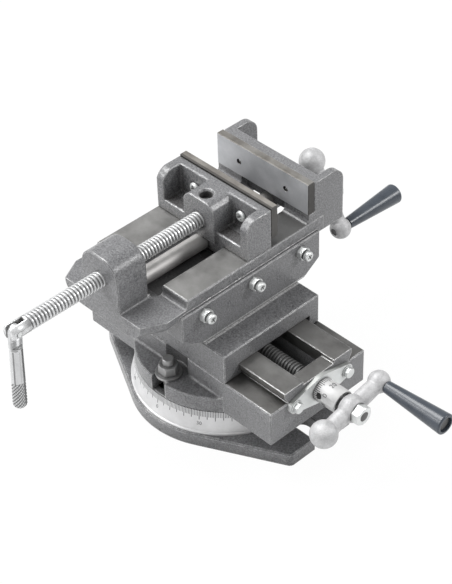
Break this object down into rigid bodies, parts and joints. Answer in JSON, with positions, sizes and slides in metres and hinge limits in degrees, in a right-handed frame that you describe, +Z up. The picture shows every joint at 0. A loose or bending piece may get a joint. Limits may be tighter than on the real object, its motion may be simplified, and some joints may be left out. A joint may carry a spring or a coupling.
{
  "type": "cross slide vise",
  "caption": "Swivel-base cross slide vise: screw-driven parallel jaw on two crossed dovetail slides with ball cranks and dials, over a slotted round base.",
  "frame": {"origin": "on the swivel axis, on the underside of the base", "axes": "+X along the lower slide towards its crank, +Y along the vise from its handle to the fixed jaw, +Z up"},
  "size_m": [0.3079, 0.3911, 0.1746],
  "materials": {
    "cast_paint": "dark grey grainy paint over sand-cast iron, worn bright at the edges",
    "machined_steel": "ground and milled steel",
    "scale_satin": "satin silver with fine dark ticks",
    "zinc": "bright zinc plating",
    "dark_steel": "dark oiled steel",
    "black_oxide": "blackened steel",
    "cast_aluminium": "sand-cast aluminium, grainy",
    "grip_plastic": "dark blue-grey moulded plastic",
    "nut_iron": "machined iron"
  },
  "bodies": {
    "base": {"base_plate": "cast_paint", "degree_ring": "scale_satin"},
    "turntable": {"lower_slide": "cast_paint", "swivel_clamp_studs": "black_oxide", "swivel_clamp_washers": "black_oxide", "swivel_clamp_nuts": "black_oxide", "lower_bearing_plate": "zinc", "lower_plate_bolts": "zinc"},
    "lower_feed": {"lower_lead_screw": "dark_steel", "lower_dial_collar": "scale_satin", "lower_dial_set_screw": "black_oxide", "lower_crank": "cast_aluminium", "lower_crank_nut": "zinc", "lower_grip_spindle": "dark_steel"},
    "lower_sleeve": {"lower_grip": "grip_plastic"},
    "saddle": {"cross_saddle": "cast_paint", "lower_lead_nut": "nut_iron", "lower_nut_screws": "black_oxide", "lower_gib": "machined_steel", "lower_gib_screws": "zinc", "lower_gib_lock_nuts": "zinc", "upper_bearing_plate": "zinc", "upper_plate_bolts": "zinc"},
    "upper_feed": {"upper_lead_screw": "dark_steel", "upper_dial_collar": "scale_satin", "upper_dial_set_screw": "black_oxide", "upper_crank": "cast_aluminium", "upper_crank_nut": "zinc", "upper_grip_spindle": "dark_steel"},
    "upper_sleeve": {"upper_grip": "grip_plastic"},
    "vise": {"vise_body": "cast_paint", "upper_lead_nut": "nut_iron", "upper_nut_screws": "black_oxide", "upper_gib": "machined_steel", "upper_gib_screws": "zinc", "upper_gib_lock_nuts": "zinc", "fixed_jaw_plate": "machined_steel", "fixed_jaw_screws": "zinc", "guide_bar": "machined_steel"},
    "jaw": {"movable_jaw": "cast_paint", "movable_jaw_plate": "machined_steel", "movable_jaw_screws": "zinc", "jaw_retaining_screw": "black_oxide"},
    "clamp_screw": {"vise_screw": "zinc", "handle_pin": "zinc"},
    "handle": {"vise_handle": "zinc"}
  },
  "joints": [
    {"name": "swivel", "type": "hinge", "parent": "base", "child": "turntable", "pos_m": [0, 0, 0.032], "axis": [0, 0, 1], "continuous": true},
    {"name": "lower_screw_turn", "type": "hinge", "parent": "turntable", "child": "lower_feed", "pos_m": [0.1024, 0, 0.0593], "axis": [1, 0, 0], "range_deg": [-5765, 6245]},
    {"name": "lower_grip_spin", "type": "hinge", "parent": "lower_feed", "child": "lower_sleeve", "pos_m": [0.1359, 0.03025, 0.06606], "axis": [1, 0, 0], "continuous": true},
    {"name": "saddle_travel", "type": "slide", "parent": "turntable", "child": "saddle", "axis": [1, 0, 0], "range_m": [-0.052, 0.048]},
    {"name": "upper_screw_turn", "type": "hinge", "parent": "saddle", "child": "upper_feed", "pos_m": [-0.0217, 0.051, 0.1004], "axis": [0, 1, 0], "range_deg": [-2405, 3485]},
    {"name": "upper_grip_spin", "type": "hinge", "parent": "upper_feed", "child": "upper_sleeve", "pos_m": [-0.00504, 0.1378, 0.07426], "axis": [0, 1, 0], "continuous": true},
    {"name": "vise_travel", "type": "slide", "parent": "saddle", "child": "vise", "axis": [0, 1, 0], "range_m": [-0.029, 0.02]},
    {"name": "jaw_travel", "type": "slide", "parent": "vise", "child": "jaw", "axis": [0, 1, 0], "range_m": [-0.058, 0.0328]},
    {"name": "vise_screw_turn", "type": "hinge", "parent": "jaw", "child": "clamp_screw", "pos_m": [-0.0217, 0, 0.1535], "axis": [0, 1, 0], "range_deg": [-6965, 3941]},
    {"name": "handle_fold", "type": "hinge", "parent": "clamp_screw", "child": "handle", "pos_m": [-0.0217, -0.1815, 0.1535], "axis": [-1, 0, 0], "range_deg": [0, 180]}
  ],
  "couplings": [
    {"joint": "lower_screw_turn", "follows": "saddle_travel", "rad_per_m": -2094.4},
    {"joint": "upper_screw_turn", "follows": "vise_travel", "rad_per_m": -2094.4},
    {"joint": "vise_screw_turn", "follows": "jaw_travel", "rad_per_m": 2094.4}
  ]
}
